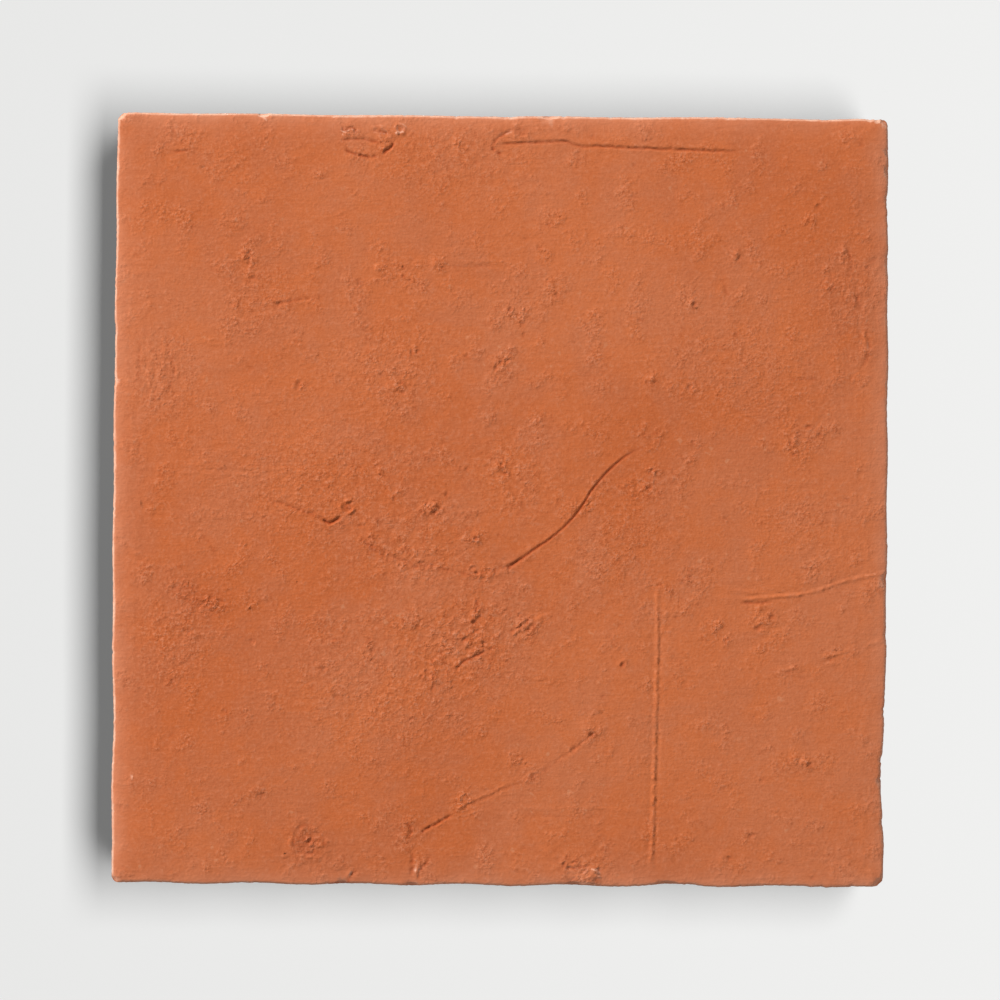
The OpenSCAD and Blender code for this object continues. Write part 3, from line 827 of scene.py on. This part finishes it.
def unwrap(mesh):
    """Lays the piece out flat for baked maps: the face large, the back small beside
    it, and the four sides as strips above."""
    normal = read(mesh.polygons, "normal", 3)
    lean = normal[:, :2]
    near_or_far = np.abs(lean[:, 1]) > np.abs(lean[:, 0])
    side = np.where(near_or_far, np.where(lean[:, 1] < 0, 0, 2), np.where(lean[:, 0] > 0, 1, 3))
    region = np.where(normal[:, 2] > 0.45, 4, np.where(normal[:, 2] < -0.6, 5, side))
    region = np.repeat(region, read(mesh.polygons, "loop_total", 1, np.int32)[:, 0])[:, None]
    share = read(mesh.vertices, "co", 3) / (SIZE * MM)
    share = share[read(mesh.loops, "vertex_index", 1, np.int32)[:, 0]]
    x, y, z = share[:, :1] + 0.5, share[:, 1:2] + 0.5, share[:, 2:]
    big, small, gap = 0.72, 0.26, 0.004
    tall = 0.9 * big * THICKNESS / SIZE[0]
    uv = np.where(region == 4, np.hstack([x, y]) * big + gap, 0)
    uv = np.where(region == 5, np.hstack([x, y]) * small + (big + 3 * gap, gap), uv)
    for k in range(4):
        run = x if k % 2 == 0 else y
        up = z * tall + big + 3 * gap + k * (tall + gap)
        uv = np.where(region == k, np.hstack([run * big + gap, up]), uv)
    layer = mesh.uv_layers.new(name="OFBake")
    layer.data.foreach_set("uv", uv.astype(np.float32).ravel())


def paint_masks(mesh, face):
    """Masks at each vertex: painted shade in the face's folds, dents and pits, how torn the
    clay is, how close to the tile's edge, how much of it is the worn, pale arris, which
    also carries a painted highlight and so is weaker on the near and right sides, away
    from the raking lamp, and whether it is a raw side or back."""
    co = read(mesh.vertices, "co", 3) / MM
    normal = read(mesh.vertex_normals, "vector", 3)
    upright = normal[:, 2]
    top = smoothstep(co[:, 2] / THICKNESS, 0.88, 0.93)
    inset = np.min(SIZE[:2] / 2 - np.abs(co[:, :2]), axis=1)
    # The worn arris is painted pale, partly as wear and partly as a painted highlight: it is kept
    # weaker on the near and right sides, which face away from the raking lamp.
    broken = smoothstep(0.985 - upright, 0, 0.12) * smoothstep(upright, 0.1, 0.5)
    away_from_lamp = np.maximum(-normal[:, 1], 0.6 * normal[:, 0])
    broken = broken * (1 - 0.65 * smoothstep(away_from_lamp, 0, 0.4))
    masks = {
        # painted shade in the face's folds, dents and pits, and one dark smudge
        "hollow": face.at(face.hollow, co[:, :2]) * top,
        "torn": face.at(face.torn, co[:, :2]) * top,
        "edge": np.exp(-np.maximum(inset - 1.2, 0) / 2.6) * top,
        "rim": broken * top * (inset < 6),
        "raw": 1 - smoothstep(upright, 0.3, 0.75),
    }
    for name, values in masks.items():
        layer = mesh.attributes.new(name, "FLOAT", "POINT")
        layer.data.foreach_set("value", np.clip(values, 0, 1).astype(np.float32))


# ---- material
def linear(*rgb):
    """A colour as seen on a screen, 0 to 255, in the shader's own terms."""
    c = np.array(rgb) / 255
    c = np.where(c <= 0.04045, c / 12.92, ((c + 0.055) / 1.055) ** 2.4)
    return (*c, 1.0)


class Nodes:
    """Wires shader nodes in the order they are read."""

    def __init__(self, name):
        self.material = bpy.data.materials.new(name)
        self.material.use_nodes = True
        self.tree = self.material.node_tree
        self.tree.nodes.clear()

    def add(self, kind, inputs, **settings):
        node = self.tree.nodes.new(kind)
        for name, value in settings.items():
            setattr(node, name, value)
        for name, value in inputs.items():
            if isinstance(value, bpy.types.NodeSocket):
                self.tree.links.new(value, node.inputs[name])
            else:
                node.inputs[name].default_value = value
        return node

    def noise(self, across, detail=2.0, rough=0.5, stretch=(1, 1, 1), twist=0.0):
        """Noise with features about so many mm across, mostly from 0.3 to 0.7."""
        place = self.add("ShaderNodeTexCoord", {}).outputs["Object"]
        place = self.add("ShaderNodeMapping", {"Vector": place, "Scale": stretch}).outputs[0]
        inputs = {"Vector": place, "Scale": 1 / (across * MM)}
        inputs |= {"Detail": detail, "Roughness": rough, "Distortion": twist}
        return self.add("ShaderNodeTexNoise", inputs).outputs["Fac"]

    def span(self, value, low, high, to_low=0.0, to_high=1.0):
        """Maps a value between two limits smoothly to another range."""
        inputs = {"Value": value, "From Min": low, "From Max": high}
        inputs |= {"To Min": to_low, "To Max": to_high}
        node = self.add("ShaderNodeMapRange", inputs, interpolation_type="SMOOTHSTEP")
        return node.outputs[0]

    def mix(self, share, first, second):
        """Blends two colours: the second has that share."""
        inputs = {0: share, 6: first, 7: second}
        return self.add("ShaderNodeMix", inputs, data_type="RGBA").outputs[2]

    def maths(self, operation, first, second):
        inputs = {0: first, 1: second}
        return self.add("ShaderNodeMath", inputs, operation=operation).outputs[0]

    def times(self, first, second):
        return self.maths("MULTIPLY", first, second)

    def mask(self, name):
        return self.add("ShaderNodeAttribute", {}, attribute_name=name).outputs["Fac"]

    def finish(self, shader):
        self.add("ShaderNodeOutputMaterial", {"Surface": shader.outputs[0]})
        return self.material


LIGHTER = linear(206, 117, 73)
DARKER = linear(191, 98, 52)
REDDER = linear(201, 105, 55)
DULLER = linear(193, 109, 70)
PALE = linear(212, 132, 96)
# pale worn arris, partly a painted highlight
RIM_WEAR_AND_HIGHLIGHT = linear(230, 180, 153)
# deep red: random dark grain, and the colour of painted shade
DEEP_TONE_AND_SHADE = linear(152, 58, 18)
DUST = linear(214, 146, 108)


def clay_relief(n):
    """Height in millimetres of the clay's finest relief, which is strongest where the
    clay is torn: lumps, grit, scratches and short pits. Also how much of it is pit, and
    where its specks are light and dark: they follow the fine grain, paler on its crests
    and darker in its dips, partly as painted highlight and shade."""
    ground = n.span(n.noise(7, 3, 0.6), 0.48, 0.75, 0.09, 0.6)
    amount = n.maths("MAXIMUM", n.mask("torn"), n.maths("MAXIMUM", ground, n.mask("raw")))
    pit = n.span(n.noise(1.5, 2, 0.6, stretch=(0.8, 1.3, 1), twist=0.7), 0.60, 0.74)
    pit = n.times(pit, n.span(amount, 0.25, 0.85))
    lumps = n.times(n.times(n.noise(1.4, 3, 0.6), amount), n.times(amount, 0.26))
    grit = n.times(n.times(n.noise(0.9, 2, 0.6), amount), 0.40)
    scratches = n.times(n.noise(1.2, 2, 0.6, stretch=(0.15, 1, 1), twist=0.3), 0.07)
    grain = n.times(n.noise(0.7, 2, 0.6), 0.08)
    height = n.times(pit, -0.15)
    for part in (lumps, grit, scratches, grain):
        height = n.maths("ADD", height, part)
    # The specks share the grain's noise: light on its crests and dark in its dips, partly painted
    # highlight and shade.
    speck = n.noise(0.7, 2, 0.7)
    light = n.times(n.span(speck, 0.5, 0.66), amount)
    dark = n.times(n.span(speck, 0.5, 0.34), amount)
    return height, pit, light, dark


def fired_clay():
    """Unglazed terracotta: lighter and darker, redder and duller by turns, with painted shade
    in its pits and hollows, specks that are partly painted highlight and shade, dusty specks,
    a pale worn arris that also carries a painted highlight, and paler edges and sides."""
    n = Nodes("fired_clay")
    height, pit, light, dark = clay_relief(n)
    colour = n.mix(n.span(n.noise(60, 4, 0.5, twist=0.3), 0.30, 0.70), DARKER, LIGHTER)
    hue = n.mix(n.span(n.noise(13, 2, 0.7), 0.36, 0.64), REDDER, DULLER)
    colour = n.mix(0.5, colour, hue)
    grain = n.noise(1.4, 4, 0.75)
    colour = n.mix(n.span(grain, 0.5, 0.70, 0, 0.30), colour, PALE)
    colour = n.mix(n.span(grain, 0.5, 0.30, 0, 0.15), colour, DEEP_TONE_AND_SHADE)
    # Light and dark specks: random tone, partly painted highlight on the grain's crests and
    # painted shade in its dips.
    colour = n.mix(light, colour, PALE)
    colour = n.mix(n.times(dark, 0.5), colour, DEEP_TONE_AND_SHADE)
    dust = n.span(n.noise(2.4, 2), 0.66, 0.76, 0, 0.4)
    dust = n.times(dust, n.span(n.noise(26, 1), 0.52, 0.62))
    colour = n.mix(dust, colour, DUST)
    edge = n.times(n.mask("edge"), n.span(n.noise(9, 2), 0.3, 0.7, 0.5, 1))
    colour = n.mix(edge, colour, PALE)
    raw = n.times(n.mask("raw"), n.span(n.noise(2.0, 3, 0.7), 0.3, 0.7, 0.2, 0.9))
    colour = n.mix(raw, colour, PALE)
    # The worn arris: pale wear, and a painted highlight where it faces the raking lamp.
    rim = n.times(n.mask("rim"), n.span(n.noise(3, 3, 0.6), 0.35, 0.65, 0.5, 1))
    colour = n.mix(rim, colour, RIM_WEAR_AND_HIGHLIGHT)
    # Painted shade: the face's folds, dents and pits darkened towards the deep red.
    hollow = n.maths("MAXIMUM", n.mask("hollow"), n.times(pit, 0.3))
    colour = n.mix(hollow, colour, DEEP_TONE_AND_SHADE)

    inputs = {"Height": height, "Distance": MM}
    normal = n.add("ShaderNodeBump", inputs).outputs[0]
    inputs = {"Base Color": colour, "Normal": normal, "Specular IOR Level": 0.2}
    inputs["Roughness"] = n.span(n.noise(5, 3), 0.3, 0.7, 0.84, 0.92)
    return n.finish(n.add("ShaderNodeBsdfPrincipled", inputs))


def add_object(name, data):
    """A new object in the scene."""
    ob = bpy.data.objects.new(name, data)
    bpy.context.scene.collection.objects.link(ob)
    return ob


def build_tile():
    slab = Slab(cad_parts["tile"])
    face = work_face()
    ob = add_object("tile_clay", make_mesh("tile_clay", *build_skin(slab, face)))
    thin(ob, TRIANGLES)
    lift(ob.data)
    unwrap(ob.data)
    paint_masks(ob.data, face)
    ob.data.shade_smooth()
    ob.data.materials.append(fired_clay())
    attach(ob, "root")
    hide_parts("tile")
    return ob


# ---- floor, light and camera
FLOOR = linear(238, 238, 237)
FLOOR_REACH = 3.0       # metres from the middle to each side of the floor
SKY = 0.20              # share of the light that comes from all round
FILL = 0.14             # share of the tile's light that comes from the right
FLOOR_LIGHT = 1.23      # the floor's light, where 1 shows colours as they are
LAMP_DISTANCE = 3.5     # metres
LENS, SENSOR = 100, 36  # millimetres
PICTURE_SHARE = 0.78    # how much of the picture's width the tile takes up


def build_floor():
    square = [(-1, -1, 0), (1, -1, 0), (1, 1, 0), (-1, 1, 0)]
    mesh = bpy.data.meshes.new("floor")
    mesh.from_pydata([Vector(p) * FLOOR_REACH for p in square], [], [(0, 1, 2, 3)])
    floor = add_object("floor", mesh)
    n = Nodes("pale_floor")
    mesh.materials.append(n.finish(n.add("ShaderNodeBsdfDiffuse", {"Color": FLOOR})))
    return floor


def soft_lamp(name, azimuth, elevation, size, share, lights_up):
    """A soft lamp aimed at the tile, that lights one object. It gives a level surface
    that share of the light that shows colours as they are. Azimuth 0 is to the right
    and 90 to the far side, and the size is in metres."""
    a, e = math.radians(azimuth), math.radians(elevation)
    away = Vector((math.cos(a) * math.cos(e), math.sin(a) * math.cos(e), math.sin(e)))
    lamp = bpy.data.lights.new(name, "AREA")
    lamp.shape = "RECTANGLE"
    lamp.size, lamp.size_y = size
    lamp.energy = share * (math.pi * LAMP_DISTANCE) ** 2 / math.sin(e)
    ob = add_object(name, lamp)
    ob.location = away * LAMP_DISTANCE
    ob.rotation_euler = (-away).to_track_quat("-Z", "Y").to_euler()
    receivers = bpy.data.collections.new(name + "_lights_up")
    receivers.objects.link(lights_up)
    ob.light_linking.receiver_collection = receivers


def build_light(tile, floor):
    """An even sky, a lamp from the upper left that rakes the face with a weak one
    against it, and one from the right that casts the tile's shadow on the floor."""
    world = bpy.data.worlds.new("studio")
    world.use_nodes = True
    background = world.node_tree.nodes["Background"]
    background.inputs["Color"].default_value = (1, 1, 1, 1)
    background.inputs["Strength"].default_value = SKY
    bpy.context.scene.world = world
    soft_lamp("rake", 142, 28, (0.9, 0.9), 1 - SKY - FILL, tile)
    soft_lamp("fill", 0, 50, (2.0, 2.0), FILL, tile)
    soft_lamp("side", 0, 62, (4.8, 1.4), FLOOR_LIGHT - SKY, floor)
    tile.visible_diffuse = False


def build_camera():
    """Straight above the tile, as far away as the picture's share asks for."""
    camera = bpy.data.cameras.new("camera")
    camera.lens = LENS
    camera.sensor_width = SENSOR
    ob = add_object("camera", camera)
    distance = SIZE[0] * MM / PICTURE_SHARE * LENS / SENSOR
    ob.location = (0, 0, cad_high.z + distance)
    bpy.context.scene.camera = ob


tile = build_tile()
floor = build_floor()
build_light(tile, floor)
build_camera()
bpy.context.scene.view_settings.view_transform = "Standard"
